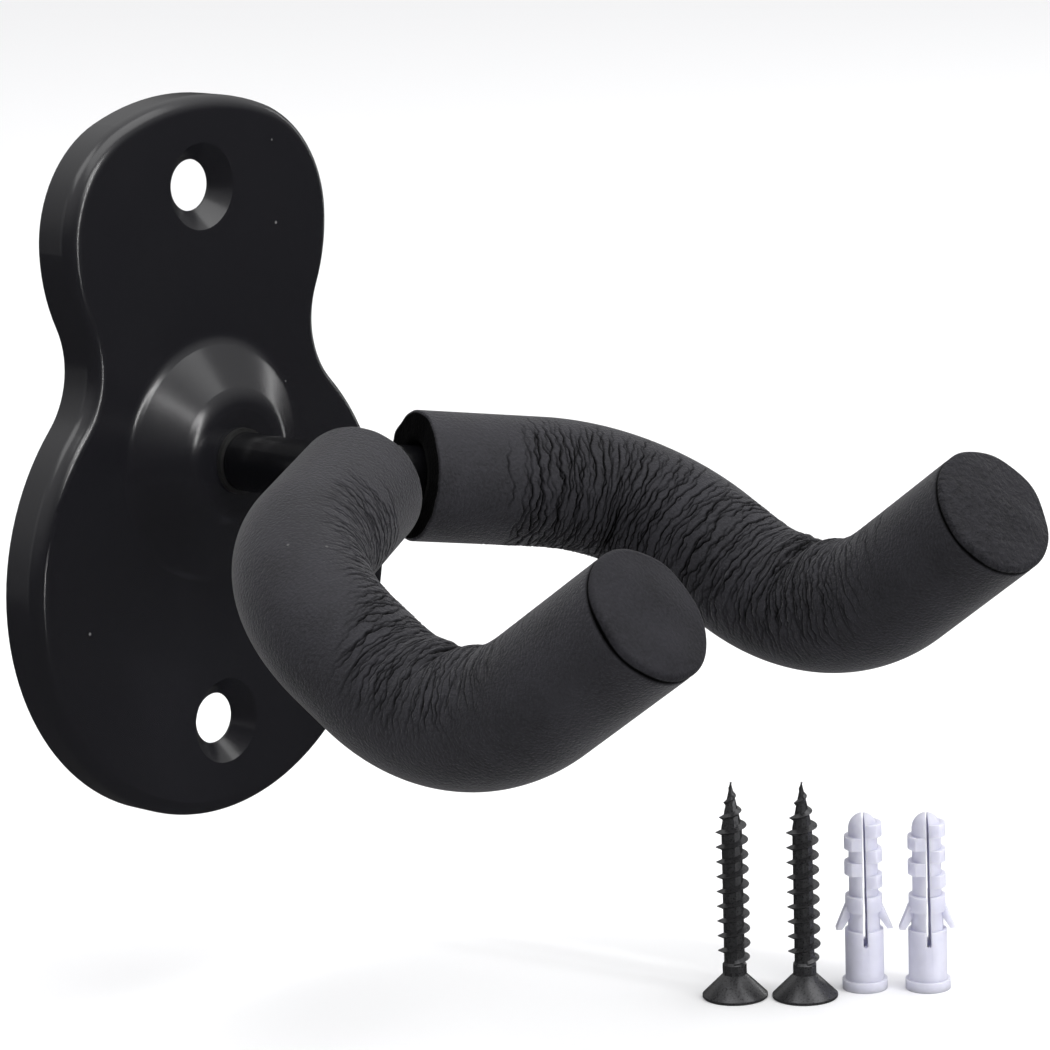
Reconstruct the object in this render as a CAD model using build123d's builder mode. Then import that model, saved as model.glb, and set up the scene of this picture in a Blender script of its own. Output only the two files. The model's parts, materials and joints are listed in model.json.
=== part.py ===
"""Wall guitar hanger: a pressed guitar-shaped back plate, a swivelling two-armed yoke with foam
sleeves, the parts that hold the yoke in the plate, and the loose screws and wall plugs.

Frame: the origin is on the wall, on the swivel axis, midway between the screw holes. +Z is up,
the wall face looks along +Y, and the yoke reaches out along -Y. Millimetres throughout.
"""
import os
from math import cos, radians, sqrt, tan

from build123d import *

os.makedirs("parts", exist_ok=True)

# --- back plate: pressed sheet steel -------------------------------------------------------
sheet = 1.5                  # sheet thickness
plate_depth = 6.0            # wall to the plate's flat front face
plate_edge_radius = 2.0      # outside radius where the front turns into the rim
upper_lobe_radius = 24.5     # half width of the upper lobe
upper_lobe_height = 30.8     # height of its widest place
crown_corner_radius = 16.9   # the two top corners
plate_top = 49.1             # height of the crown
lower_lobe_radius = 33.7     # round lower lobe
lower_lobe_height = -16.2    # height of its centre
waist_radius = 12.0          # hollow arc between the lobes

# --- screw holes ---------------------------------------------------------------------------
hole_spacing = 74.0
screw_hole_radius = 3.5
countersink_radius = 5.9
countersink_angle = 90.0
hole_land = 0.3              # straight bore behind the countersink

# --- boss round the swivel shaft -----------------------------------------------------------
boss_base_radius = 16.2
boss_top_radius = 8.6
boss_height = 5.0
boss_foot_radius = 3.2       # hollow fillet at the foot
boss_shoulder_radius = 5.4   # rounded shoulder

# --- swivel --------------------------------------------------------------------------------
shaft_radius = 4.0
spigot_radius = 3.0          # reduced M6 end that passes through the plate
running_clearance = 0.05     # radial, spigot in bush
seat_clearance = 0.05        # between faces that turn on each other
bush_wall = 0.8
bush_fit = 0.05              # bush sleeve in the plate
bush_flange_margin = 0.5     # flange shows this far round the shaft
bush_flange = 0.7
washer_radius = 6.0
washer_thickness = 1.6
washer_clearance = 0.2       # both washers over the spigot
washer_edge = 0.25
spring_washer_radius = 5.5
spring_washer_thickness = 0.5
spring_washer_height = 0.9   # squeezed height over its curve
nut_flats = 10.0
nut_hex_height = 3.7
nut_height = 5.0
nut_collar_wall = 0.8        # round the nylon insert
insert_height = 1.6
insert_wall = 0.8
shaft_end_stand = 0.5        # spigot shows this far behind the nut
end_chamfer = 0.5

# --- yoke: one bent rod, centre-line corners of the right-hand arm ---------------------------
rod_radius = 4.0
hub = Vector(0, -35.7, 1.0)
elbow = Vector(34.5, -51.2, -5.0)
saddle = Vector(35.9, -82.5, -22.5)
tip = Vector(33.9, -111.9, -0.9)   # outer face of the end cap
hub_bend = 8.0
elbow_bend = 23.2
saddle_bend = 24.9
weld_size = 1.3              # bead stands this far out of the shaft
weld_reach = 3.4             # and this far along it

# --- foam sleeves and end caps -------------------------------------------------------------
foam_radius = 8.7
foam_clearance = 0.1         # bore over the rod
foam_start = 5.7             # from the hub, along the arm
cap_thickness = 1.4
cap_edge_radius = 0.9
rod_short = 0.5              # rod ends this far inside the sleeve

# --- loose fixings, standing on one level in front of the plate ------------------------------
fixing_level = -76.0
screw_place = Vector(39.1, -63.2)
screw_step = Vector(5.6, -7.8)
plug_place = Vector(52.7, -75.2)
plug_step = Vector(5.1, -7.0)
plug_turn = -48.0            # about Z, so that the slits face the same way as the yoke's side
screw_length = 30.5
screw_head_radius = 4.5
screw_rim = 0.5
screw_core_radius = 1.4
screw_neck_radius = 1.65
thread_radius = 2.25
thread_pitch = 2.1
thread_start = 6.0           # from the head's face
screw_point = 5.0            # length of the pointed tip
thread_root = 0.84           # thread width at the core
thread_crest = 0.08
thread_sink = 0.3            # thread rooted this deep in the core
thread_lead = 115.0          # where round the core the thread begins
recess_span = 5.2
recess_width = 1.1
recess_depth = 1.9
plug_length = 25.0
plug_flange_radius = 3.1
plug_flange = 1.4
plug_radius = 2.65           # lower body, round the bore
plug_shank_top = 8.5         # where the lower body ends
plug_waist_radius = 2.2      # behind the wings
plug_collar_radius = 2.55    # the wings hang from this collar
plug_collar_bottom = 11.2
plug_collar_top = 13.4
plug_neck_radius = 2.0       # upper body
plug_dome = 2.2              # height of the rounded tip
plug_rib_radius = 2.6
plug_rib = 1.8               # height of one rib, and the step to the next on the other side
plug_ribs = 5
plug_rib_start = 14.6
plug_slit_foot = 6.7         # height of the slit's lower end
plug_slit_width = 0.65       # at its foot
plug_slit_mouth = 0.3        # at the tip
plug_wing_reach = 3.9
plug_wing_top = 11.9
plug_wing_foot = 8.6
plug_wing_thickness = 0.8

front_face = plate_depth
boss_face = plate_depth + boss_height
boss_inside = boss_face - sheet


def outline_lines(inset=0.0):
    """Right half of the plate's outline, arc by arc, and its mirror image."""
    lobe = upper_lobe_radius - inset
    corner = crown_corner_radius - inset
    belly = lower_lobe_radius - inset
    waist = waist_radius + inset
    top = plate_top - inset
    corner_x = lobe - corner
    # the crown arc passes through the top and touches both corner arcs from inside
    drop = top - upper_lobe_height
    crown = (drop**2 - corner**2 + corner_x**2) / (2 * (drop - corner))
    crown_centre = Vector(0, top - crown)
    corner_centre = Vector(corner_x, upper_lobe_height)
    crown_end = crown_centre + (corner_centre - crown_centre).normalized() * crown
    # the waist arc touches the upper lobe and the lower lobe from outside
    span = upper_lobe_height - lower_lobe_height
    to_upper, to_lower = lobe + waist, belly + waist
    below = (to_upper**2 - to_lower**2 + span**2) / (2 * span)
    waist_centre = Vector(sqrt(to_upper**2 - below**2), upper_lobe_height - below)
    upper_centre, lower_centre = Vector(0, upper_lobe_height), Vector(0, lower_lobe_height)
    waist_start = upper_centre + (waist_centre - upper_centre).normalized() * lobe
    waist_end = lower_centre + (waist_centre - lower_centre).normalized() * belly
    crown_arc = TangentArc((0, top), crown_end, tangent=(1, 0))
    corner_arc = TangentArc(crown_arc @ 1, (lobe, upper_lobe_height), tangent=crown_arc % 1)
    side_arc = TangentArc(corner_arc @ 1, waist_start, tangent=corner_arc % 1)
    waist_arc = TangentArc(side_arc @ 1, waist_end, tangent=side_arc % 1)
    TangentArc(waist_arc @ 1, (0, lower_lobe_height - belly), tangent=waist_arc % 1)
    mirror(about=Plane.YZ)


def finish(piece, name):
    """Label a finished piece and write it."""
    piece.part.label = name
    export_step(piece.part, f"parts/{name}.step")


# --- back plate ----------------------------------------------------------------------------
countersink_depth = (countersink_radius - screw_hole_radius) / tan(radians(countersink_angle / 2))
dimple_depth = countersink_depth + hole_land
hole_places = [(0, hole_spacing / 2), (0, -hole_spacing / 2)]
bush_outer_radius = spigot_radius + running_clearance + bush_wall + bush_fit

with BuildPart() as back_plate:
    with BuildSketch(Plane.XZ):
        with BuildLine():
            outline_lines()
        make_face()
    extrude(amount=front_face)
    fillet(back_plate.edges().group_by(Axis.Y)[0], plate_edge_radius)
    with BuildSketch(Plane.XZ):
        with BuildLine():
            outline_lines(inset=sheet)
        make_face()
    extrude(amount=front_face - sheet, mode=Mode.SUBTRACT)
    pocket_floor = back_plate.faces().filter_by(Plane.XZ).sort_by(Axis.Y)[1]
    fillet(pocket_floor.edges(), plate_edge_radius - sheet)
    # formed countersinks: a dimple of sheet behind each screw hole
    with Locations(Plane.XZ.offset(front_face - dimple_depth)):
        with Locations(*hole_places):
            Cone(screw_hole_radius + sheet, countersink_radius + sheet, dimple_depth - sheet / 2,
                 align=(Align.CENTER, Align.CENTER, Align.MIN))
    with Locations(Plane.XZ.offset(front_face)):
        with Locations(*hole_places):
            CounterSinkHole(screw_hole_radius, countersink_radius, 2 * dimple_depth, countersink_angle)
    # boss: the sheet rises in a cone with a rounded shoulder to a flat top
    with BuildSketch(Plane.XZ):
        Circle(boss_base_radius)
    extrude(amount=front_face, mode=Mode.SUBTRACT)
    with BuildSketch(Plane.XY):
        with BuildLine() as boss_line:
            FilletPolyline((boss_base_radius + boss_foot_radius, -front_face),
                           (boss_base_radius, -front_face),
                           (boss_top_radius, -boss_face), (bush_outer_radius, -boss_face),
                           radius=[boss_foot_radius, boss_shoulder_radius])
            offset(amount=sheet, side=Side.RIGHT)
        make_face()
    revolve(axis=Axis.Y)
finish(back_plate, "back_plate")


# --- swivel: bush, washers, lock nut -------------------------------------------------------
# Distances here are from the wall, so a turned profile is drawn at (radius, -distance).
bush_bore_radius = spigot_radius + running_clearance
bush_flange_radius = shaft_radius + bush_flange_margin
washer_bore_radius = spigot_radius + washer_clearance
insert_radius = spigot_radius + insert_wall
nut_collar_radius = insert_radius + nut_collar_wall
weld_radius = shaft_radius + weld_size
shoulder = boss_face + bush_flange + seat_clearance
washer_back = boss_inside - washer_thickness
spring_back = washer_back - spring_washer_height
nut_front = spring_back - seat_clearance
nut_back = nut_front - nut_height
shaft_end = nut_back - shaft_end_stand

with BuildPart() as bush:
    with BuildSketch(Plane.XZ.offset(boss_inside)):
        Circle(bush_outer_radius - bush_fit)
    extrude(amount=sheet)
    with BuildSketch(Plane.XZ.offset(boss_face)):
        Circle(bush_flange_radius)
    extrude(amount=bush_flange)
    with Locations(Plane.XZ):
        Hole(bush_bore_radius)
finish(bush, "swivel_bush")

with BuildPart() as plain_washer:
    with BuildSketch(Plane.XZ.offset(washer_back)):
        Circle(washer_radius)
        Circle(washer_bore_radius, mode=Mode.SUBTRACT)
    extrude(amount=washer_thickness)
    chamfer(plain_washer.edges().group_by(Axis.Y)[0].sort_by(Edge.length)[-1], washer_edge)
finish(plain_washer, "plain_washer")

# a ring cut from a strip that is bowed to its squeezed height
bow = spring_washer_height - spring_washer_thickness
bow_radius = (spring_washer_radius**2 + bow**2) / (2 * bow)
with BuildPart() as spring_washer:
    with BuildSketch(Plane.XY.offset(-spring_washer_radius)):
        with Locations((0, -spring_back - bow_radius)):
            Circle(bow_radius)
            Circle(bow_radius - spring_washer_thickness, mode=Mode.SUBTRACT)
    extrude(amount=2 * spring_washer_radius)
    with BuildSketch(Plane.XZ.offset(spring_back)):
        Circle(spring_washer_radius)
        Circle(washer_bore_radius, mode=Mode.SUBTRACT)
    extrude(amount=spring_washer_height, mode=Mode.INTERSECT)
finish(spring_washer, "spring_washer")

with BuildPart() as lock_nut:
    with BuildSketch(Plane.XZ.offset(nut_front - nut_hex_height)):
        RegularPolygon(nut_flats / 2, 6, major_radius=False)
    extrude(amount=nut_hex_height)
    chamfer(lock_nut.edges().group_by(Axis.Y)[0], end_chamfer / 2)
    with BuildSketch(Plane.XZ.offset(nut_back)):
        Circle(nut_collar_radius)
    extrude(amount=nut_height - nut_hex_height)
    fillet(lock_nut.edges().group_by(Axis.Y)[-1], end_chamfer)
    with BuildSketch(Plane.XZ.offset(nut_back)):
        Circle(insert_radius)
    extrude(amount=insert_height, mode=Mode.SUBTRACT)
    with Locations(Plane.XZ):
        Hole(bush_bore_radius)
finish(lock_nut, "lock_nut")

with BuildPart() as nut_insert:
    with BuildSketch(Plane.XZ.offset(nut_back)):
        Circle(insert_radius)
        Circle(spigot_radius, mode=Mode.SUBTRACT)
    extrude(amount=insert_height)
finish(nut_insert, "lock_nut_insert")

# --- yoke rod ------------------------------------------------------------------------------
def twin(point):
    """The same point of the left-hand arm."""
    return Vector(-point.X, point.Y, point.Z)


tip_run = (tip - saddle).normalized()
sleeve_end = tip - tip_run * cap_thickness
rod_end = sleeve_end - tip_run * rod_short
arm_run = (elbow - hub).normalized()
sleeve_start = hub + arm_run * foam_start

with BuildPart() as yoke_rod:
    with BuildLine() as rod_line:
        FilletPolyline(twin(rod_end), twin(saddle), twin(elbow), hub, elbow, saddle, rod_end,
                       radius=[saddle_bend, elbow_bend, hub_bend, elbow_bend, saddle_bend])
    with BuildSketch(Plane(origin=rod_line.line @ 0, z_dir=rod_line.line % 0)):
        Circle(rod_radius)
    sweep()
    chamfer(yoke_rod.faces().filter_by(GeomType.PLANE).edges(), end_chamfer)
finish(yoke_rod, "yoke_rod")

# --- swivel shaft: ends on the back of the rod, reduced to M6 where it passes the plate ---------
half_turn = arm_run.get_angle(Vector(1, 0, 0))
hub_pass = -hub.Y + hub_bend * (1 / cos(radians(half_turn)) - 1)   # where the bent rod crosses x = 0

with BuildPart() as swivel_shaft:
    with BuildSketch(Plane.XZ.offset(shoulder)):
        Circle(shaft_radius)
    extrude(amount=hub_pass - shoulder)
    with BuildSketch(Plane.XZ.offset(shaft_end)):
        Circle(spigot_radius)
    extrude(amount=shoulder - shaft_end)
    chamfer(swivel_shaft.edges().group_by(Axis.Y)[-1], end_chamfer)
    add(yoke_rod.part, mode=Mode.SUBTRACT)
finish(swivel_shaft, "swivel_shaft")

with BuildPart() as weld:
    with BuildSketch(Plane.XY):
        with BuildLine():
            back = -hub_pass + rod_radius / 2 + weld_reach
            front = -hub_pass - weld_reach / 2
            Polyline((0.6 * weld_radius, front), (0, front), (0, back), (shaft_radius, back))
            Spline((shaft_radius, back), (weld_radius, -hub_pass + rod_radius / 2),
                   (weld_radius - weld_size / 3, -hub_pass), (0.6 * weld_radius, front))
        make_face()
    revolve(axis=Axis.Y)
    add(yoke_rod.part, mode=Mode.SUBTRACT)
    add(swivel_shaft.part, mode=Mode.SUBTRACT)
finish(weld, "weld_bead")

# --- foam sleeves and end caps -------------------------------------------------------------
with BuildPart() as foam_right:
    with BuildLine() as arm_line:
        FilletPolyline(sleeve_start, elbow, saddle, sleeve_end, radius=[elbow_bend, saddle_bend])
    with BuildSketch(Plane(origin=sleeve_start, z_dir=arm_run)):
        Circle(foam_radius)
        Circle(rod_radius + foam_clearance, mode=Mode.SUBTRACT)
    sweep()
finish(foam_right, "foam_sleeve_right")

with BuildPart() as foam_left:
    mirror(foam_right.part, about=Plane.YZ)
finish(foam_left, "foam_sleeve_left")

with BuildPart() as cap_right:
    with BuildSketch(Plane(origin=sleeve_end, z_dir=tip_run)):
        Circle(foam_radius)
    extrude(amount=cap_thickness)
    fillet(cap_right.faces().sort_by(Axis(origin=sleeve_end, direction=tip_run))[-1].edges(),
           cap_edge_radius)
finish(cap_right, "end_cap_right")

with BuildPart() as cap_left:
    mirror(cap_right.part, about=Plane.YZ)
finish(cap_left, "end_cap_left")


# --- loose screws: countersunk, standing on their heads --------------------------------------
cone_top = screw_rim + screw_head_radius - screw_neck_radius
thread_end = screw_length - screw_point

with BuildPart() as thread:
    with BuildLine():
        turns = Helix(thread_pitch, thread_end - thread_start, screw_core_radius - thread_sink,
                      center=(0, 0, thread_start))
    with BuildSketch(Plane(origin=turns @ 0, x_dir=(1, 0, 0), z_dir=turns % 0)) as ridge:
        with BuildLine():
            crest = thread_radius - screw_core_radius + thread_sink
            Polyline((0, -thread_root / 2), (crest, -thread_crest / 2), (crest, thread_crest / 2),
                     (0, thread_root / 2), close=True)
        make_face()
    sweep(sections=ridge.sketch, path=turns, is_frenet=True)

with BuildPart() as screw:
    with BuildSketch(Plane.XZ):
        with BuildLine():
            Polyline((0, 0), (screw_head_radius, 0), (screw_head_radius, screw_rim),
                     (screw_neck_radius, cone_top), (screw_neck_radius, thread_start),
                     (screw_core_radius, thread_start), (screw_core_radius, thread_end),
                     (thread_crest, screw_length - thread_crest), (0, screw_length), close=True)
        make_face()
    revolve(axis=Axis.Z)
    add(thread.part.rotate(Axis.Z, thread_lead))
    with BuildSketch(Plane.XY):
        Rectangle(recess_span, recess_width)
        Rectangle(recess_width, recess_span)
    extrude(amount=recess_depth, taper=10, mode=Mode.SUBTRACT)

for number in range(2):
    with BuildPart() as standing_screw:
        foot = screw_place + screw_step * number
        add(screw.part.moved(Location((foot.X, foot.Y, fixing_level))))
    finish(standing_screw, f"mounting_screw_{number + 1}")

# --- loose wall plugs: slit nylon sleeves, standing on their flanges -------------------------
with BuildPart() as plug:
    with BuildSketch(Plane.XZ):
        with BuildLine():
            body = Polyline((0, plug_length), (0, 0), (plug_flange_radius, 0),
                            (plug_flange_radius, plug_flange), (plug_radius, plug_flange),
                            (plug_radius, plug_shank_top), (plug_waist_radius, plug_shank_top),
                            (plug_waist_radius, plug_collar_bottom), (plug_collar_radius, plug_collar_bottom),
                            (plug_collar_radius, plug_collar_top), (plug_neck_radius, plug_collar_top),
                            (plug_neck_radius, plug_length - plug_dome))
            TangentArc(body @ 1, body @ 0, tangent=(0, 1))
        make_face()
    revolve(axis=Axis.Z)
    # raised ribs, left and right by turns
    for rib in range(plug_ribs):
        with BuildSketch(Plane.XY.offset(plug_rib_start + rib * plug_rib)):
            Circle(plug_rib_radius)
            with Locations(((-1) ** rib * plug_rib_radius, 0)):
                Rectangle(2 * plug_rib_radius, 2 * plug_neck_radius, mode=Mode.INTERSECT)
        extrude(amount=plug_rib)
    # two sprung wings, hung from the collar and flared down and outwards
    for side in (-1, 1):
        with BuildSketch(Plane.XZ.offset(-plug_neck_radius / 2)):
            with BuildLine():
                Polyline((side * plug_neck_radius, plug_wing_top), (side * plug_collar_radius, plug_wing_top),
                         (side * plug_wing_reach, plug_wing_foot),
                         (side * (plug_wing_reach - plug_wing_thickness), plug_wing_foot),
                         (side * plug_neck_radius, plug_wing_top - 2 * plug_wing_thickness), close=True)
            make_face()
        extrude(amount=plug_neck_radius)
    with BuildSketch(Plane.XZ.offset(-plug_flange_radius)):
        with BuildLine():
            Polyline((-plug_slit_width / 2, plug_slit_foot), (plug_slit_width / 2, plug_slit_foot),
                     (plug_slit_mouth / 2, plug_length), (-plug_slit_mouth / 2, plug_length), close=True)
        make_face()
        with Locations((0, plug_slit_foot)):
            Circle(plug_slit_width / 2)
    extrude(amount=2 * plug_flange_radius, mode=Mode.SUBTRACT)
    with Locations((0, 0, 0)):
        Hole(screw_core_radius, depth=plug_slit_foot)

for number in range(2):
    with BuildPart() as standing_plug:
        foot = plug_place + plug_step * number
        add(plug.part.moved(Location((foot.X, foot.Y, fixing_level), (0, 0, plug_turn))))
    finish(standing_plug, f"wall_plug_{number + 1}")
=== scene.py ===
import json
import math

import bmesh
import bpy
import numpy as np
from mathutils import Matrix, Vector

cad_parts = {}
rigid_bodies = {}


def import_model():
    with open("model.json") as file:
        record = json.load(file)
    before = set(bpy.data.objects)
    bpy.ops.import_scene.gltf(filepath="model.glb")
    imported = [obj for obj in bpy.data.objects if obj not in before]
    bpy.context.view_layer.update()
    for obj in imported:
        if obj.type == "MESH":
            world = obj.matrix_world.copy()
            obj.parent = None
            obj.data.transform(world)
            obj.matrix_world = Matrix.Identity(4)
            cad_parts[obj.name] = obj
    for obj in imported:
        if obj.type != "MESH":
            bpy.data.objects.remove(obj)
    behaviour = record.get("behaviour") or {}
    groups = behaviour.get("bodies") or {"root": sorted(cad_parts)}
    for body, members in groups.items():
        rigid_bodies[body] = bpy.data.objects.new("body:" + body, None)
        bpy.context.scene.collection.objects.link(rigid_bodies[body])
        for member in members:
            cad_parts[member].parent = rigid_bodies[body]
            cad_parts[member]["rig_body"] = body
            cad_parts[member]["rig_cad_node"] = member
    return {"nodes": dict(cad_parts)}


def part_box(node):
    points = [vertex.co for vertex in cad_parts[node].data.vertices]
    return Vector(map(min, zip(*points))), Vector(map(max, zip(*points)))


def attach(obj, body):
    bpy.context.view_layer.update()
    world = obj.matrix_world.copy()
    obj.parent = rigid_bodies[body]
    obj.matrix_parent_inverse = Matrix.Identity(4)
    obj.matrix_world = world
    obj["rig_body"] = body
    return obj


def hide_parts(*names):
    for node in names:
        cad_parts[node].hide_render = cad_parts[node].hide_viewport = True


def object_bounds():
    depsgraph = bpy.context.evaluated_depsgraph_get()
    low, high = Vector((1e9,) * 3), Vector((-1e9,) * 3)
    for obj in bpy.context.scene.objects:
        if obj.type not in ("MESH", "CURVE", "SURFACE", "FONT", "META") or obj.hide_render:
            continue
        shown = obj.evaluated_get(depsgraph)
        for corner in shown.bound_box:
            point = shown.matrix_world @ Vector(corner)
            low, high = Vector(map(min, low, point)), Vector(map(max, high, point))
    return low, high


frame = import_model()
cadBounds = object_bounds()
mm = 0.001


def deselectAll():
    if bpy.context.object and bpy.context.object.mode != "OBJECT":
        bpy.ops.object.mode_set(mode="OBJECT")
    bpy.ops.object.select_all(action="DESELECT")


def pick(piece):
    deselectAll()
    piece.select_set(True)
    bpy.context.view_layer.objects.active = piece


def added(name):
    piece = bpy.context.object
    piece.name = name
    piece.data.name = name
    return piece


def copyOf(piece, name):
    twin = piece.copy()
    twin.data = piece.data.copy()
    twin.name = name
    bpy.context.scene.collection.objects.link(twin)
    return twin


def placeInMesh(piece, place, turn=0.0):  # the object itself stays at the origin, unturned
    piece.data.transform(Matrix.Translation(place) @ Matrix.Rotation(turn, 4, "Z"))
    piece.data.update()


def applyModifier(piece, kind, **settings):
    pick(piece)
    modifier = piece.modifiers.new(kind.lower(), kind)
    for key, value in settings.items():
        setattr(modifier, key, value)
    bpy.ops.object.modifier_apply(modifier=modifier.name)


def smoothBelow(piece, degrees):
    pick(piece)
    bpy.ops.object.shade_smooth_by_angle(angle=math.radians(degrees))


def facesOutward(piece):
    pick(piece)
    bpy.ops.object.mode_set(mode="EDIT")
    bpy.ops.mesh.select_all(action="SELECT")
    bpy.ops.mesh.normals_make_consistent(inside=False)
    bpy.ops.object.mode_set(mode="OBJECT")


shot = {
    "aim": Vector((13.64, -50.0, -6.71)) * mm,
    "distance": 609.5 * mm,
    "azimuth": -48.13,      # degrees round to the left of straight in front
    "elevation": 12.19,
    "roll": -1.82,
    "lens": 158.24,         # on a 36 mm sensor
}

studio = {
    "floorSize": 12.0,
    "floorColor": (0.94, 0.94, 0.95, 1),
    "skyTop": 1.15,
    "skyLevel": 0.04,       # just above the floor's edge
    "skyRise": (0.05, 0.9),
    "backdrop": 1.0,
    # name: azimuth, elevation, distance, width, height, glow
    "boxes": {
        "overhead": (10, 66, 1.1, 1.2, 0.9, 1.9),
        "frontPanel": (-1, 27, 1.3, 0.24, 0.28, 9.0),
        "frontStrip": (8, 8, 1.3, 0.06, 0.95, 34.0),
        "rightStrip": (96, 8, 1.2, 0.05, 0.8, 6.0),
        "leftWall": (-128, 12, 1.3, 0.5, 0.9, 0.3),
        "highLeft": (-120, 60, 1.3, 0.7, 0.7, 2.3),
    },
}


def addCamera():
    az, el, roll = (math.radians(shot[k]) for k in ("azimuth", "elevation", "roll"))
    right = Vector((math.cos(az), math.sin(az), 0))
    back = Vector((math.sin(az) * math.cos(el), -math.cos(az) * math.cos(el), math.sin(el)))
    up = back.cross(right)
    level, steep = math.cos(roll), math.sin(roll)
    axes = (right * level + up * steep, up * level - right * steep, back)
    lens = bpy.data.cameras.new("camera")
    lens.lens, lens.sensor_width = shot["lens"], 36
    lens.clip_start, lens.clip_end = 0.01, 50
    camera = bpy.data.objects.new("camera", lens)
    turned = Matrix(axes).transposed().to_4x4()
    camera.matrix_world = Matrix.Translation(shot["aim"] + back * shot["distance"]) @ turned
    bpy.context.scene.collection.objects.link(camera)
    bpy.context.scene.camera = camera


def addSoftbox(name, azimuth, elevation, distance, width, height, glow):
    az, el = math.radians(azimuth), math.radians(elevation)
    away = Vector((math.sin(az) * math.cos(el), -math.cos(az) * math.cos(el), math.sin(el)))
    light = bpy.data.lights.new(name, "AREA")
    light.shape = "RECTANGLE"
    light.size, light.size_y = width, height
    light.energy = glow * math.pi * width * height
    box = bpy.data.objects.new(name, light)
    box.location = shot["aim"] + away * distance
    box.rotation_euler = (-away).to_track_quat("-Z", "Y").to_euler()
    bpy.context.scene.collection.objects.link(box)


def addWorld():
    world = bpy.data.worlds.new("studio")
    bpy.context.scene.world = world
    world.use_nodes = True
    nodes, links = world.node_tree.nodes, world.node_tree.links
    nodes.clear()
    where = nodes.new("ShaderNodeTexCoord")
    split = nodes.new("ShaderNodeSeparateXYZ")
    rise = nodes.new("ShaderNodeMapRange")
    rise.inputs["From Min"].default_value, rise.inputs["From Max"].default_value = studio["skyRise"]
    rise.inputs["To Min"].default_value = studio["skyLevel"]
    rise.inputs["To Max"].default_value = studio["skyTop"]
    sky, plain = nodes.new("ShaderNodeBackground"), nodes.new("ShaderNodeBackground")
    plain.inputs["Strength"].default_value = studio["backdrop"]
    plain.inputs["Color"].default_value = (1, 1, 1, 1)
    sky.inputs["Color"].default_value = (1, 1, 1, 1)
    ray = nodes.new("ShaderNodeLightPath")
    mix, out = nodes.new("ShaderNodeMixShader"), nodes.new("ShaderNodeOutputWorld")
    links.new(where.outputs["Generated"], split.inputs[0])
    links.new(split.outputs["Z"], rise.inputs["Value"])
    links.new(rise.outputs["Result"], sky.inputs["Strength"])
    links.new(ray.outputs["Is Camera Ray"], mix.inputs[0])
    links.new(sky.outputs[0], mix.inputs[1])
    links.new(plain.outputs[0], mix.inputs[2])
    links.new(mix.outputs[0], out.inputs["Surface"])


def addFloor():
    deselectAll()
    bpy.ops.mesh.primitive_plane_add(size=studio["floorSize"], location=(0, 0, cadBounds[0].z))
    floor = added("floor")
    paint = bpy.data.materials.new("floorPaper")
    paint.use_nodes = True
    shader = paint.node_tree.nodes["Principled BSDF"]
    shader.inputs["Base Color"].default_value = studio["floorColor"]
    shader.inputs["Roughness"].default_value = 0.95
    shader.inputs["Specular IOR Level"].default_value = 0.0
    floor.data.materials.append(paint)
    floor.visible_glossy = False


addCamera()
addWorld()
addFloor()
for boxName, facts in studio["boxes"].items():
    addSoftbox(boxName, *facts)
bpy.context.scene.view_settings.view_transform = "Standard"
print("studio ready")


def newMaterial(name):
    paint = bpy.data.materials.new(name)
    paint.use_nodes = True
    return paint, paint.node_tree.nodes, paint.node_tree.links, paint.node_tree.nodes["Principled BSDF"]


def noiseOn(nodes, links, scale, detail=3.0, rough=0.5):  # on the piece's own coordinates, waves per metre
    where, noise = nodes.new("ShaderNodeTexCoord"), nodes.new("ShaderNodeTexNoise")
    noise.inputs["Scale"].default_value = scale
    noise.inputs["Detail"].default_value = detail
    noise.inputs["Roughness"].default_value = rough
    links.new(where.outputs["Object"], noise.inputs["Vector"])
    return noise.outputs["Fac"]


def rampOn(nodes, links, source, *stops):
    ramp = nodes.new("ShaderNodeValToRGB")
    points = ramp.color_ramp.elements
    points[0].position, points[0].color = stops[0]
    points[1].position, points[1].color = stops[-1]
    for position, color in stops[1:-1]:
        points.new(position).color = color
    links.new(source, ramp.inputs["Fac"])
    return ramp.outputs["Color"]


def rangeOn(nodes, links, source, low, high, fromLow=0.3, fromHigh=0.7):
    span = nodes.new("ShaderNodeMapRange")
    for key, value in zip(("From Min", "From Max", "To Min", "To Max"), (fromLow, fromHigh, low, high)):
        span.inputs[key].default_value = value
    links.new(source, span.inputs["Value"])
    return span.outputs["Result"]


def bumpOn(nodes, links, source, distance):
    bump = nodes.new("ShaderNodeBump")
    bump.inputs["Distance"].default_value = distance
    links.new(source, bump.inputs["Height"])
    return bump.outputs["Normal"]


def mixOn(nodes, links, factor, first, second):  # colours or sockets
    mix = nodes.new("ShaderNodeMix")
    mix.data_type = "RGBA"
    links.new(factor, mix.inputs["Factor"])
    for key, value in (("A", first), ("B", second)):
        socket = next(i for i in mix.inputs if i.name == key and i.type == "RGBA")
        if isinstance(value, tuple):
            socket.default_value = value
        else:
            links.new(value, socket)
    return next(o for o in mix.outputs if o.type == "RGBA")


def grey(value, blue=1.0):
    return (value, value, value * blue, 1)


def shaded(color, factor):
    return tuple(min(1.0, factor * c) for c in color[:3]) + (1,)


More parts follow.
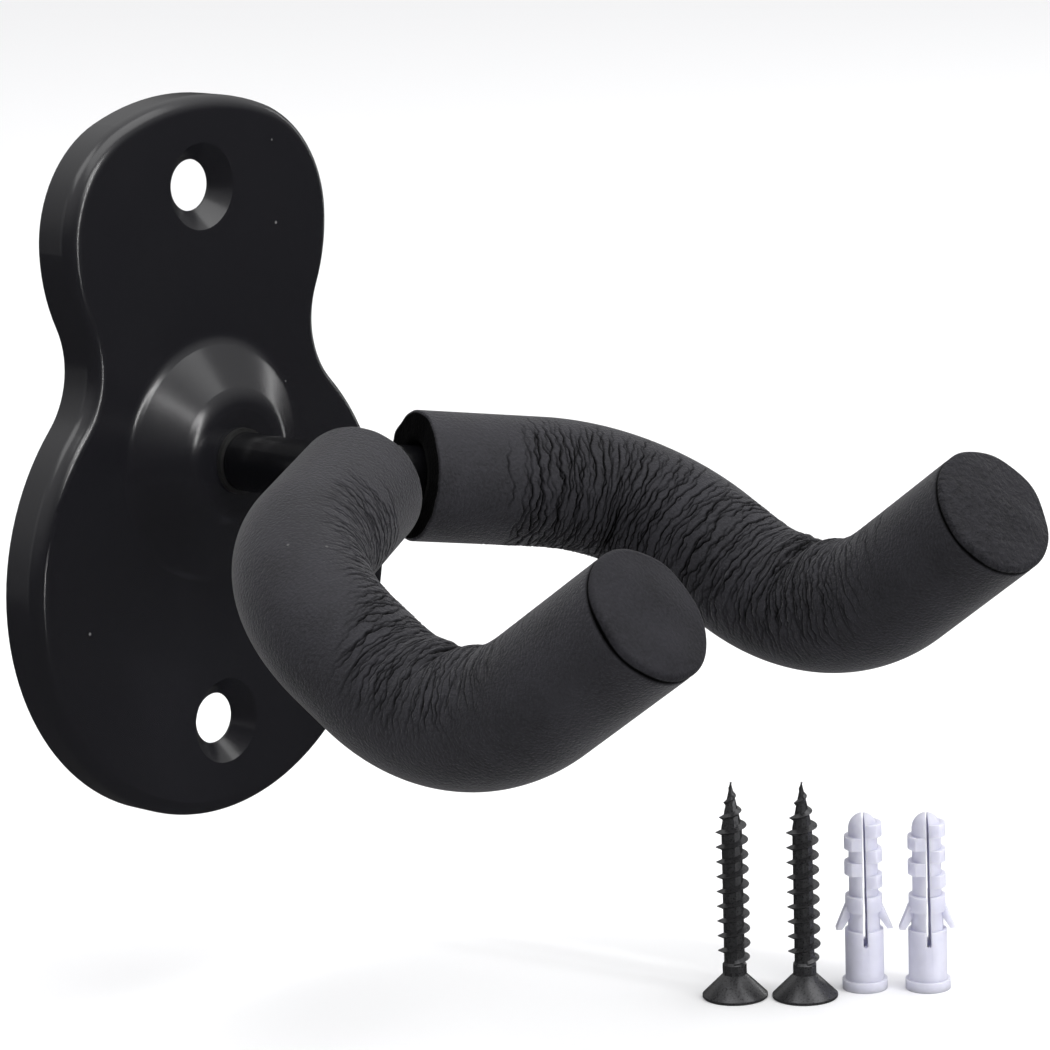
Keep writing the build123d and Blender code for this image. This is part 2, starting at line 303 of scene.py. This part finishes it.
def specksOn(nodes, links, scale, size, share):  # a few small round dots, 1 inside and 0 outside
    where, cells = nodes.new("ShaderNodeTexCoord"), nodes.new("ShaderNodeTexVoronoi")
    cells.inputs["Scale"].default_value = scale
    links.new(where.outputs["Object"], cells.inputs["Vector"])
    near = rampOn(nodes, links, cells.outputs["Distance"], (size, grey(1)), (size * 1.5, grey(0)))
    split = nodes.new("ShaderNodeSeparateColor")
    links.new(cells.outputs["Color"], split.inputs[0])
    few = rampOn(nodes, links, split.outputs[0], (1 - share, grey(0)), (1 - share + 0.01, grey(1)))
    both = nodes.new("ShaderNodeMath")
    both.operation = "MULTIPLY"
    links.new(near, both.inputs[0])
    links.new(few, both.inputs[1])
    return both.outputs[0]


enamel = {
    "color": (0.0085, 0.0084, 0.0104, 1), "speck": grey(0.13), "specks": 0.16,
    "roughness": (0.19, 0.25), "peelScale": 1100, "peel": 0.0035 * mm,
}


def sprayedEnamel(name, look):  # sprayed black paint with fine orange peel and a few dust specks
    paint, nodes, links, shader = newMaterial(name)
    dust = specksOn(nodes, links, 210, 0.035, look["specks"])
    links.new(mixOn(nodes, links, dust, look["color"], look["speck"]), shader.inputs["Base Color"])
    cloudy = noiseOn(nodes, links, 70, 4.0)
    links.new(rangeOn(nodes, links, cloudy, *look["roughness"]), shader.inputs["Roughness"])
    peel = noiseOn(nodes, links, look["peelScale"], 2.0)
    links.new(bumpOn(nodes, links, peel, look["peel"]), shader.inputs["Normal"])
    return paint


foamLook = {
    # painted shade: the second colour on the next line, near black, and the last gloss value, for the
    # creases, the bore, the cut end and the cap joints
    "color": (0.0142, 0.0138, 0.0172, 1), "paintedShade": grey(0.0006), "speck": grey(0.11), "specks": 0.008,
    "grainScale": 2500, "grain": 0.19 * mm, "patchScale": 130, "roughness": 0.66,
    "sheen": 0.20, "sheenRoughness": 0.35, "gloss": 0.25, "shadeGloss": 0.03,
}


def leatheryFoam(name, look):  # closed-cell rubber foam: pebbled skin, with painted shade, near black, inside the creases, in the bore, on the cut end and where the caps meet the sleeves
    paint, nodes, links, shader = newMaterial(name)
    grain = noiseOn(nodes, links, look["grainScale"], 3.0, 0.6)
    # the colour follows the grain's bumps: painted shade in their hollows and painted light on their tops
    grainTopLight, grainHollowShade = shaded(look["color"], 1.5), shaded(look["color"], 0.6)
    tone = rampOn(nodes, links, grain, (0.32, grainHollowShade), (0.7, grainTopLight))
    patches = noiseOn(nodes, links, look["patchScale"], 3.0, 0.55)
    # paler in random patches
    mottled = mixOn(nodes, links, rangeOn(nodes, links, patches, 0.0, 0.5), tone, shaded(look["color"], 2.0))
    dusty = mixOn(nodes, links, specksOn(nodes, links, 330, 0.05, look["specks"]), mottled, look["speck"])
    # a per-point mask of painted shade: it darkens the colour and takes away gloss and sheen
    paintedShade = nodes.new("ShaderNodeAttribute")
    paintedShade.attribute_name = "paintedShade"
    links.new(mixOn(nodes, links, paintedShade.outputs["Fac"], dusty, look["paintedShade"]),
              shader.inputs["Base Color"])
    links.new(bumpOn(nodes, links, grain, look["grain"]), shader.inputs["Normal"])
    shader.inputs["Roughness"].default_value = look["roughness"]
    links.new(rangeOn(nodes, links, paintedShade.outputs["Fac"], look["gloss"], look["shadeGloss"], 0, 1),
              shader.inputs["Specular IOR Level"])
    links.new(rangeOn(nodes, links, paintedShade.outputs["Fac"], look["sheen"], 0, 0, 1),
              shader.inputs["Sheen Weight"])
    shader.inputs["Sheen Roughness"].default_value = look["sheenRoughness"]
    return paint


def smallPart(name, color, rough, metal=0.0, scale=1500, grain=0.006 * mm, spread=0.15, glow=0.0):
    paint, nodes, links, shader = newMaterial(name)
    noise = noiseOn(nodes, links, scale)
    tone = rampOn(nodes, links, noise, (0.35, shaded(color, 1 - spread)), (0.65, shaded(color, 1 + spread)))
    links.new(tone, shader.inputs["Base Color"])
    links.new(rangeOn(nodes, links, noise, rough - 0.05, rough + 0.08), shader.inputs["Roughness"])
    links.new(bumpOn(nodes, links, noise, grain), shader.inputs["Normal"])
    shader.inputs["Metallic"].default_value = metal
    if glow:    # light wanders inside the milky plastic
        shader.inputs["Subsurface Weight"].default_value = glow
        shader.inputs["Subsurface Radius"].default_value = (1.2, 1.2, 1.3)
        shader.inputs["Subsurface Scale"].default_value = 2 * mm
    return paint


plateEnamel = sprayedEnamel("plateEnamel", enamel)
glossEnamel = sprayedEnamel("glossEnamel", dict(
    enamel, color=(0.0028, 0.0028, 0.0035, 1), roughness=(0.12, 0.17)))
sleeveFoam = leatheryFoam("sleeveFoam", foamLook)
capFoamSmooth = leatheryFoam("capFoamSmooth", dict(
    foamLook, color=(0.0112, 0.0109, 0.0135, 1), grain=0.12 * mm, patchScale=150, sheen=0.08, gloss=0.15))
capFoamPitted = leatheryFoam("capFoamPitted", dict(
    foamLook, color=(0.0106, 0.0103, 0.0128, 1), grain=0.6 * mm, grainScale=1300, specks=0.16,
    sheen=0.08, gloss=0.18))
zincSteel = smallPart("zincSteel", grey(0.55, 1.05), 0.33, 1.0)
darkNylon = smallPart("darkNylon", grey(0.012), 0.4)
nutNylon = smallPart("nutNylon", (0.70, 0.70, 0.66, 1), 0.5)
blackPhosphate = smallPart("blackPhosphate", grey(0.055, 1.05), 0.30, 0.6, scale=3800,
                           grain=0.008 * mm, spread=0.25)
naturalNylon = smallPart("naturalNylon", (0.62, 0.62, 0.73, 1), 0.38, scale=500, spread=0.03, glow=0.85)
print("materials ready")

finishes = {
    "back_plate": plateEnamel, "swivel_bush": darkNylon,
    "swivel_shaft": glossEnamel, "yoke_rod": glossEnamel, "weld_bead": glossEnamel,
    "plain_washer": zincSteel, "spring_washer": zincSteel, "lock_nut": zincSteel,
    "lock_nut_insert": nutNylon,
}
for node, paint in finishes.items():
    for place in frame["nodes"][node].material_slots:
        place.material = paint


arm = {   # the right arm's centre line in millimetres, as the rod is bent; the left is its mirror image
    "hub": (0, -35.7, 1.0), "elbow": (34.5, -51.2, -5.0),
    "saddle": (35.9, -82.5, -22.5), "tip": (33.9, -111.9, -0.9),
    "elbowBend": 23.2, "saddleBend": 24.9,
    "start": 5.7,           # sleeve begins this far from the hub
    "cap": 1.4,             # end cap's thickness
}


def unit(v):
    return v / np.linalg.norm(v)


def cornerOf(side, name):
    return np.array(arm[name], float) * (side, 1, 1)


def bendArc(before, corner, after, radius, spacing):
    u, v = unit(before - corner), unit(after - corner)
    half = math.acos(float(u @ v)) / 2
    centre = corner + unit(u + v) * radius / math.sin(half)
    first, last = (corner + w * radius / math.tan(half) - centre for w in (u, v))
    turn = math.pi - 2 * half
    shares = np.arange(0, 1, spacing / (radius * turn))
    return [centre + (math.sin((1 - t) * turn) * first + math.sin(t * turn) * last) / math.sin(turn)
            for t in shares]


def armLine(side, spacing=0.25):  # points along the sleeve's centre line, and their lengths from its start
    hub, elbow, saddle, tip = (cornerOf(side, name) for name in ("hub", "elbow", "saddle", "tip"))
    points = [hub + unit(elbow - hub) * arm["start"]]
    points += bendArc(hub, elbow, saddle, arm["elbowBend"], spacing)
    points += bendArc(elbow, saddle, tip, arm["saddleBend"], spacing)
    points.append(tip - unit(tip - saddle) * arm["cap"])
    points = np.array(points)
    lengths = np.concatenate([[0], np.cumsum(np.linalg.norm(np.diff(points, axis=0), axis=1))])
    return points, lengths


def along(points, lengths, at):
    def place(x):
        return np.stack([np.interp(x, lengths, points[:, k]) for k in range(3)], 1)
    heading = place(np.minimum(at + 0.4, lengths[-1])) - place(np.maximum(at - 0.4, 0))
    return place(at), heading / np.linalg.norm(heading, axis=1)[:, None]


def crossAxes(heading):  # two directions across the line, carried along it without twist
    side = unit(np.cross(heading[0], (0, 0, 1.0)))
    sides = []
    for d in heading:
        side = unit(side - d * (side @ d))
        sides.append(side)
    return np.array(sides), np.cross(heading, np.array(sides))


def smoothStep(low, high, x):
    t = np.clip((x - low) / (high - low), 0, 1)
    return t * t * (3 - 2 * t)


def wavesFrom(rng, count, shortest, longest):
    made = []
    for _ in range(count):
        length = math.exp(rng.uniform(math.log(shortest), math.log(longest)))
        made.append((2 * math.pi / length, rng.uniform(0, 2 * math.pi), (length / longest) ** 0.8))
    return made


def waveHeight(waves, x):
    return sum(share * np.sin(rate * x + phase) for rate, phase, share in waves)


sleeve = {
    "radius": 8.7, "bore": 4.15, "boreMouth": 4.7, "edge": 0.3, "around": 208,
    "fine": 0.125, "coarse": 0.4,       # row spacing with and without creases
    "creased": (9.0, 86.0),             # from the start of the sleeve
    "saddleAt": 62.5, "elbowAt": 30.0,  # middles of the two bends
    "bunching": 0.45,                   # creases gather at the inside of a bend
    # the second value on the next line is painted shade, near black, on the bore and on the cut face of the
    # open end
    "capGroove": 0.12, "boreAndCutShade": 0.95,
    # pitch, depth, half width, shortest, longest, reach round the tube, from, to
    "creases": [
        (1.25, 0.38, 0.12, 6.0, 17.0, 1.8, 9.0, 86.0),
        (1.40, 0.20, 0.10, 2.5, 7.0, 1.9, 12.0, 84.0),
        (0.80, 0.06, 0.16, 2.0, 7.0, 2.1, 7.0, 88.0),
        (2.60, 0.30, 0.42, 9.0, 20.0, 1.5, 50.0, 72.0),
    ],
    # wrap: how far round the creases reach; kinks: place, depth, half width, reach round the tube;
    # nicks in the open end: angle, depth
    "right": {"seed": 11, "wrap": 1.0, "kinks": [(62.5, 1.4, 1.1, 5.0), (30.0, 0.25, 1.2, 5.0)],
              "nicks": [(2.2, 0.55), (2.9, 0.4)]},
    "left": {"seed": 29, "wrap": 0.8, "kinks": [(62.5, 1.4, 1.1, 5.0), (29.0, 1.5, 0.8, 5.5)],
             "nicks": [(1.0, 0.3)]},
}


def creasedSkin(s, angle, inward, look, seed):  # the skin's height in mm, and its painted shade in the grooves, over (s, angle)
    rng = np.random.default_rng(seed)
    radius = look["radius"]
    around, whole = angle * radius, 2 * math.pi * radius
    height, creaseShade = np.zeros((len(s), len(angle))), np.zeros((len(s), len(angle)))
    low, high = look["creased"]
    drift = wavesFrom(rng, 4, 9, 34)
    for pitch, depth, width, shortest, longest, spread, first, last in look["creases"]:
        at = first
        while at < last:
            at += pitch * rng.uniform(0.55, 1.45)
            grow = float(smoothStep(low - 2, low + 7, at) * (1 - smoothStep(high - 17, high + 2, at)))
            middle = float(np.interp(at, s, inward)) * radius
            reach = radius * spread * look["wrap"] * (0.6 + 0.4 * grow)
            start = -reach * rng.uniform(0.8, 1.1)
            while start < reach:
                half = rng.uniform(shortest, longest) / 2
                centre = start + half
                start += 2 * half * rng.uniform(0.72, 1.05)
                if rng.random() > 0.5 + 0.48 * grow:
                    continue
                off = (around - middle - centre + whole / 2) % whole - whole / 2
                near = np.abs(off) < half
                if not near.any():
                    continue
                o = off[near]
                jag = wavesFrom(rng, 2, 1.3, 2.6)
                jag += [(rate, phase, 2.4 * share) for rate, phase, share in wavesFrom(rng, 2, 4, 9)]
                line = at + rng.normal(0, 0.2) + rng.normal(0, 0.04) * o + 0.11 * waveHeight(jag, o)
                line = line + 0.3 * waveHeight(drift, o + centre + 0.4 * at)
                for bendAt in (look["elbowAt"], look["saddleAt"]):
                    gather = np.exp(-((line - bendAt) / 7) ** 2) * np.exp(-((o + centre) / 6.5) ** 2)
                    line = line - (line - bendAt) * look["bunching"] * gather
                taper = np.clip(1 - (o / half) ** 2, 0, 1) ** 0.4
                taper = taper * np.exp(-((o + centre) / (1.05 * reach)) ** 6)
                strength = taper * rng.uniform(0.65, 1.15) * (0.3 + 0.7 * grow)
                strength = strength * (0.8 + 0.2 * np.sin(o * rng.uniform(0.8, 2.2) + rng.uniform(0, 6)))
                rows = np.where((s > line.min() - 5 * width) & (s < line.max() + 5 * width))[0]
                if not len(rows):
                    continue
                block = np.ix_(rows, np.where(near)[0])
                delta = s[rows][:, None] - line[None, :]
                groove = np.exp(-np.abs(delta / width) ** 1.7) * strength
                puff = np.exp(-((np.abs(delta) - 2.4 * width) / (1.5 * width)) ** 2) * strength
                height[block] += depth * (0.15 * puff - groove)
                if depth > 0.1 and width < 0.3:
                    # painted shade, near black, along the narrow deep grooves
                    grooveShade = np.exp(-np.abs(delta / (1.25 * width)) ** 2.2) * np.clip(1.3 * strength, 0, 1)
                    creaseShade[block] = np.maximum(creaseShade[block], grooveShade * (0.62 + depth))
    return height, np.clip(creaseShade * 1.15, 0, 1)


def sleeveRows(whole):  # close together at the ends and in the creases
    low, high = sleeve["creased"]
    atEnd = np.array([0, 0.05, 0.12, 0.2, 0.3])
    return np.concatenate([atEnd, np.arange(0.6, low - 2, sleeve["coarse"]),
                           np.arange(low - 2, high + 3, sleeve["fine"]),
                           np.arange(high + 3, whole - 0.35, sleeve["coarse"]), whole - atEnd[::-1]])


def insideOfBends(s, whole, heading, sides, tops):  # the angle that faces the inside, changing gently
    turning = np.gradient(heading, s, axis=0)
    steps = np.arange(0, whole, 0.5)
    spread = np.exp(-(np.arange(-30, 31) / 16) ** 2)
    soft = []
    for k in range(3):
        longer = np.pad(np.interp(steps, s, turning[:, k]), 30, mode="edge")
        soft.append(np.interp(s, steps, np.convolve(longer, spread, "valid")))
    soft = np.stack(soft, 1)
    return np.unwrap(np.arctan2((soft * tops).sum(1), (soft * sides).sum(1)))


def pinchedBends(s, angle, inward, own, height, creaseShade):  # one deep fold at the inside of each bend, with painted shade in its bottom
    around, girth = angle * sleeve["radius"], 2 * math.pi * sleeve["radius"]
    for at, depth, wide, reach in own["kinks"]:
        off = (around - np.interp(at, s, inward) * sleeve["radius"] + girth / 2) % girth - girth / 2
        beside = np.abs(s[:, None] - at)
        pinch = np.exp(-(beside / wide) ** 1.4) * np.exp(-(off / reach) ** 2)[None, :]
        swell = np.exp(-((beside - 4 * wide) / (2.2 * wide)) ** 2) * np.exp(-(off / (1.3 * reach)) ** 2)
        height = height + depth * (0.22 * swell - pinch)
        # painted shade in the bottom of the fold
        creaseShade = np.clip(creaseShade + 0.5 * pinch ** 3, 0, 1)
    return height, creaseShade


def unevenEnds(s, whole, angle, own):  # the open end's cut, and how far each row moves along
    rng = np.random.default_rng(own["seed"] + 1)
    around = angle * sleeve["radius"]
    cut = 0.08 * waveHeight(wavesFrom(rng, 5, 2.5, 12.0), around)
    for at, deep in own["nicks"]:
        off = (angle - at + math.pi) % (2 * math.pi) - math.pi
        cut = cut + deep * np.exp(-(off * sleeve["radius"] / 0.7) ** 2)
    far = 0.05 * waveHeight(wavesFrom(rng, 4, 3.0, 20.0), around)
    shift = cut[None, :] * np.clip(1 - s / 3, 0, 1)[:, None]
    return cut, shift + far[None, :] * np.clip(1 - (whole - s) / 3, 0, 1)[:, None]


def edgeRounding(s, whole):  # how far the skin drops at both ends
    edge, fromEnd = sleeve["edge"], np.minimum(s, whole - s)
    rounding = edge - np.sqrt(np.maximum(0, edge ** 2 - np.maximum(0, edge - fromEnd) ** 2))
    return rounding + sleeve["capGroove"] * np.clip(1 - (whole - s) / 0.35, 0, 1)


def boreRings(points, lengths, s, radial, cut):
    at = np.concatenate([np.linspace(lengths[-1], 4, 24), [3, 2, 1, 0.4, 0]])
    place, heading = along(points, lengths, at)
    outwards = np.stack([np.stack([np.interp(at, s, radial[:, j, k]) for k in range(3)], 1)
                         for j in range(radial.shape[1])], 1)
    flare = np.clip(1 - at / 4, 0, 1) ** 2
    radius = sleeve["bore"] + (sleeve["boreMouth"] - sleeve["bore"]) * flare
    rings = place[:, None, :] + outwards * radius[:, None, None]
    rings[-1] += 0.5 * cut[:, None] * heading[-1]
    return rings


def foamMesh(name, points, faces, paintedShade, paint):
    data = bpy.data.meshes.new(name)
    data.from_pydata(points, [], faces)
    # the per-point mask of painted shade that the foam material reads
    data.attributes.new("paintedShade", "FLOAT", "POINT").data.foreach_set("value", paintedShade)
    data.materials.append(paint)
    piece = bpy.data.objects.new(name, data)
    bpy.context.scene.collection.objects.link(piece)
    facesOutward(piece)
    bpy.ops.object.shade_smooth()
    return piece


def fitFoam(piece, node):
    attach(piece, "yoke")
    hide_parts(node)


def sleevePiece(name, node, side, own):
    points, lengths = armLine(side)
    whole = lengths[-1]
    s = sleeveRows(whole)
    place, heading = along(points, lengths, s)
    sides, tops = crossAxes(heading)
    angle = np.arange(sleeve["around"]) * 2 * math.pi / sleeve["around"]
    inward = insideOfBends(s, whole, heading, sides, tops)
    height, creaseShade = creasedSkin(s, angle, inward, dict(sleeve, **own), own["seed"])
    height, creaseShade = pinchedBends(s, angle, inward, own, height, creaseShade)
    cut, shift = unevenEnds(s, whole, angle, own)
    radial = np.cos(angle)[None, :, None] * sides[:, None, :]
    radial = radial + np.sin(angle)[None, :, None] * tops[:, None, :]
    reach = sleeve["radius"] + height - edgeRounding(s, whole)[:, None]
    outer = place[:, None, :] + radial * reach[:, :, None] + heading[:, None, :] * shift[:, :, None]
    inner = boreRings(points, lengths, s, radial, cut)
    # the cut face has a few rings of its own, so that its painted shade and its nicks end crisply at the edge
    cutFace = np.array([inner[-1] * (1 - t) + outer[0] * t for t in (0.25, 0.5, 0.75, 0.97)])
    grid = np.concatenate([outer, inner, cutFace], 0) * mm
    rows, columns = grid.shape[:2]
    i, j = np.meshgrid(np.arange(rows), np.arange(columns), indexing="ij")
    a, b = i * columns, ((i + 1) % rows) * columns
    faces = np.stack([a + j, a + (j + 1) % columns, b + (j + 1) % columns, b + j], -1).reshape(-1, 4)
    # painted shade on the last rows, where the sleeve meets its end cap
    capJointShade = np.clip(1 - (whole - s) / 0.3, 0, 1)[:, None]
    # painted shade, near black, on the bore and on the cut face of the open end
    innerRowsShade = np.full((rows - len(s), columns), sleeve["boreAndCutShade"])
    tone = np.concatenate([np.maximum(creaseShade, capJointShade), innerRowsShade], 0).reshape(-1).astype(np.float32)
    piece = foamMesh(name, grid.reshape(-1, 3).tolist(), faces.tolist(), tone, sleeveFoam)
    fitFoam(piece, node)
    print(name, "length", round(float(whole), 1), "mm, faces", len(faces))


sleevePiece("sleeveRight", "foam_sleeve_right", 1, sleeve["right"])
sleevePiece("sleeveLeft", "foam_sleeve_left", -1, sleeve["left"])


cap = {
    "radius": 8.68, "edge": 0.8, "backEdge": 0.35, "dome": 0.65, "around": 160,
    "unevenness": 0.045, "lumps": 7,
}


def capProfile():  # radius and height of each ring, from the back round the edge to the crown
    radius, edge, back, deep = cap["radius"], cap["edge"], cap["backEdge"], arm["cap"]
    profile = [(r, -deep) for r in (2.5, 5.0, 7.5, radius - back)]
    profile += [(radius - back + back * math.sin(t), -deep + back - back * math.cos(t))
                for t in np.linspace(0.3, math.pi / 2, 5)]
    profile += [(radius - edge + edge * math.cos(t), -edge + edge * math.sin(t))
                for t in np.linspace(0, math.pi / 2, 12)]
    flat = radius - edge
    return profile + [(r, cap["dome"] * (1 - (r / flat) ** 2)) for r in np.linspace(flat, 0, 26)[1:-1]]


def capPiece(name, node, side, paint, seed):
    saddle, tip = cornerOf(side, "saddle"), cornerOf(side, "tip")
    heading = unit(tip - saddle)
    across = unit(np.cross(heading, (0, 0, 1.0)))
    upward = np.cross(heading, across)
    deep, count = arm["cap"], cap["around"]
    angle = np.arange(count) * 2 * math.pi / count
    rng = np.random.default_rng(seed)
    lumps = [(rng.uniform(0.3, 1.1), rng.uniform(0, 6.28), rng.uniform(0, 6.28)) for _ in range(cap["lumps"])]
    profile = capProfile()
    points, capBackShade = [tip - heading * deep], [1.0]   # the second list is painted shade, dark where the cap meets the sleeve
    for r, h in profile:
        x, y = r * np.cos(angle), r * np.sin(angle)
        lump = sum(np.sin(rate * (x * math.cos(turn) + y * math.sin(turn)) + phase)
                   for rate, turn, phase in lumps)
        rise = h + (cap["unevenness"] if h > -deep + 0.01 else 0) * lump
        points += list(tip + x[:, None] * across + y[:, None] * upward + rise[:, None] * heading)
        capBackShade += [min(1.0, max(0.0, (-0.85 - h) / 0.2))] * count
    points.append(tip + heading * cap["dome"])
    capBackShade.append(0.0)
    lastRing, crown = 1 + (len(profile) - 1) * count, len(points) - 1
    faces = []
    for j in range(count):
        k = (j + 1) % count
        faces += [(0, 1 + j, 1 + k), (lastRing + j, crown, lastRing + k)]
        faces += [(a + j, a + count + j, a + count + k, a + k) for a in range(1, lastRing, count)]
    piece = foamMesh(name, [tuple(p * mm) for p in points], faces, capBackShade, paint)
    fitFoam(piece, node)


capPiece("capRight", "end_cap_right", 1, capFoamPitted, 5)
capPiece("capLeft", "end_cap_left", -1, capFoamSmooth, 8)
print("foam ready")


screw = {
    "rim": 0.4, "coneTop": 3.25, "neck": 1.66, "neckTop": 5.0, "core": 1.42, "pointLength": 6.5,
    "pointSteps": [(0.6, 3.6), (0.28, 1.6)],    # share of the core's radius, distance from the tip
    "crest": 2.25, "pitch": 2.1, "threadStart": 5.0, "threadHalf": 0.42, "facets": 10,
    "recessSpan": 5.2, "recessWidth": 1.1, "recessDepth": 1.9,
}


def extrudeRing(up, width):  # pulls the picked end face up along Z and scales it
    bpy.ops.mesh.extrude_region_move(TRANSFORM_OT_translate={"value": (0, 0, up * mm)})
    bpy.ops.transform.resize(value=(width, width, 1))


def turnedPiece(name, sides, start, steps):  # start: radius and height; steps: next radius and height
    deselectAll()
    bpy.ops.mesh.primitive_circle_add(vertices=sides, radius=start[0] * mm, fill_type="NGON",
                                      location=(0, 0, start[1] * mm))
    piece = added(name)
    bpy.ops.object.transform_apply(location=True, rotation=True, scale=True)
    bpy.ops.object.mode_set(mode="EDIT")
    bpy.ops.mesh.select_all(action="SELECT")
    radius, level = start
    for nextRadius, nextLevel in steps:
        extrudeRing(nextLevel - level, nextRadius / radius)
        radius, level = nextRadius, nextLevel
    bpy.ops.mesh.select_all(action="SELECT")
    bpy.ops.mesh.normals_make_consistent(inside=False)
    bpy.ops.object.mode_set(mode="OBJECT")
    return piece


def threadRidge(length):
    crest, core, half = screw["crest"], screw["core"], screw["threadHalf"]
    turns = math.ceil((length - screw["threadStart"]) / screw["pitch"])
    deselectAll()
    bpy.ops.mesh.primitive_circle_add(vertices=4, radius=half * mm, fill_type="NOTHING",
                                      location=(core * mm, 0, screw["threadStart"] * mm),
                                      rotation=(math.pi / 2, 0, 0))
    ridge = added("threadRidge")
    bpy.ops.object.transform_apply(location=True, rotation=True, scale=True)
    for v in ridge.data.vertices:       # a low, sharp-crested section, sunk a little into the core
        reach = v.co.x / mm - core
        v.co.x = (core + (crest - core if reach > 0.1 else -0.25 if reach < -0.1 else -0.02)) * mm
    applyModifier(ridge, "SCREW", axis="Z", angle=2 * math.pi, screw_offset=screw["pitch"] * mm,
                  iterations=turns, steps=36, render_steps=36, use_merge_vertices=False,
                  use_smooth_shade=False)
    point = length - screw["pointLength"]
    for v in ridge.data.vertices:       # the thread runs out along the point, and fades in at the neck
        z = v.co.z / mm
        shrink = min(1.0, max(0.06, (length - 0.2 - z) / (length - point)))
        fadeIn = min(1.0, (z - screw["threadStart"]) / 0.9 + 0.25)
        r = math.hypot(v.co.x, v.co.y) / mm
        wanted = (r if r < core else core + (r - core) * fadeIn) * (shrink ** 0.85)
        v.co.x, v.co.y = v.co.x * wanted / r, v.co.y * wanted / r
        v.co.z = min(v.co.z, (length - 0.1) * mm)
    pick(ridge)
    bpy.ops.object.mode_set(mode="EDIT")
    bpy.ops.mesh.select_all(action="SELECT")
    bpy.ops.mesh.remove_doubles(threshold=0.002 * mm)
    bpy.ops.mesh.select_all(action="DESELECT")
    bpy.ops.mesh.select_non_manifold()
    bpy.ops.mesh.fill_holes(sides=8)
    bpy.ops.mesh.select_all(action="SELECT")
    bpy.ops.mesh.normals_make_consistent(inside=False)
    bpy.ops.object.mode_set(mode="OBJECT")
    return ridge


def joinSolid(piece, other, operation="UNION"):
    applyModifier(piece, "BOOLEAN", operation=operation, object=other, solver="EXACT")
    bpy.data.objects.remove(other, do_unlink=True)


def screwPiece():
    low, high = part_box("mounting_screw_1")
    length, head = (high.z - low.z) / mm, (high.x - low.x) / 2 / mm
    coneTop, neck, core = screw["coneTop"], screw["neck"], screw["core"]
    piece = turnedPiece("screwHead", 72, (head - 0.12, 0), [
        (head, 0.12), (head, screw["rim"]), (head - 0.15, screw["rim"] + 0.14), (neck, coneTop),
        (neck - 0.5, coneTop + 0.2)])
    steps = [(neck, screw["neckTop"] - 0.35), (core, screw["neckTop"]), (core, length - screw["pointLength"])]
    steps += [(share * core, length - back) for share, back in screw["pointSteps"]]
    shank = turnedPiece("screwShank", screw["facets"], (neck, 2.2), steps + [(0.03, length)])
    joinSolid(piece, shank)
    span, width, depth = screw["recessSpan"], screw["recessWidth"], screw["recessDepth"]
    for size in ((width, span), (span, width)):     # a cross recess that narrows as it goes down
        deselectAll()
        bpy.ops.mesh.primitive_cube_add(size=mm, scale=(*size, 2 * depth))
        slot = added("recess")
        bpy.ops.object.transform_apply(location=True, rotation=True, scale=True)
        bpy.ops.object.mode_set(mode="EDIT")
        bpy.ops.mesh.select_mode(type="FACE")
        bpy.ops.mesh.select_all(action="DESELECT")
        mesh = bmesh.from_edit_mesh(slot.data)
        for face in mesh.faces:
            face.select_set(face.normal.z > 0.5)
        bmesh.update_edit_mesh(slot.data)
        bpy.ops.transform.resize(value=(0.72, 0.72, 1))
        bpy.ops.mesh.select_mode(type="VERT")
        bpy.ops.object.mode_set(mode="OBJECT")
        joinSolid(piece, slot, "DIFFERENCE")
    ridge = threadRidge(length)         # its foot is sunk in the core all the way
    pick(ridge)
    piece.select_set(True)
    bpy.context.view_layer.objects.active = piece
    bpy.ops.object.join()
    piece.data.materials.clear()
    piece.data.materials.append(blackPhosphate)
    smoothBelow(piece, 32)
    return piece


def standScrews():
    pattern = screwPiece()
    for number in (1, 2):
        low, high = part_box(f"mounting_screw_{number}")
        piece = copyOf(pattern, f"mountingScrew{number}")
        middle = ((low.x + high.x) / 2, (low.y + high.y) / 2, low.z)
        placeInMesh(piece, middle, math.radians(200 + 17 * number))
        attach(piece, "wall_plate")
        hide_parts(f"mounting_screw_{number}")
    bpy.data.objects.remove(pattern, do_unlink=True)


plug = {"weld": 0.003 * mm, "edge": 0.14 * mm, "edgeOver": 32, "smoothBelow": 40}    # angles in degrees


def standPlugs():  # the plain plugs with their edges softened
    for number in (1, 2):
        piece = copyOf(frame["nodes"][f"wall_plug_{number}"], f"wallPlug{number}")
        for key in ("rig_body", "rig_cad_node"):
            if key in piece:
                del piece[key]
        piece.parent = None
        applyModifier(piece, "WELD", merge_threshold=plug["weld"])
        applyModifier(piece, "BEVEL", width=plug["edge"], segments=2, limit_method="ANGLE",
                      angle_limit=math.radians(plug["edgeOver"]), use_clamp_overlap=True)
        piece.data.materials.clear()
        piece.data.materials.append(naturalNylon)
        smoothBelow(piece, plug["smoothBelow"])
        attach(piece, "wall_plate")
        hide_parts(f"wall_plug_{number}")


standScrews()
standPlugs()
print("fixings ready")
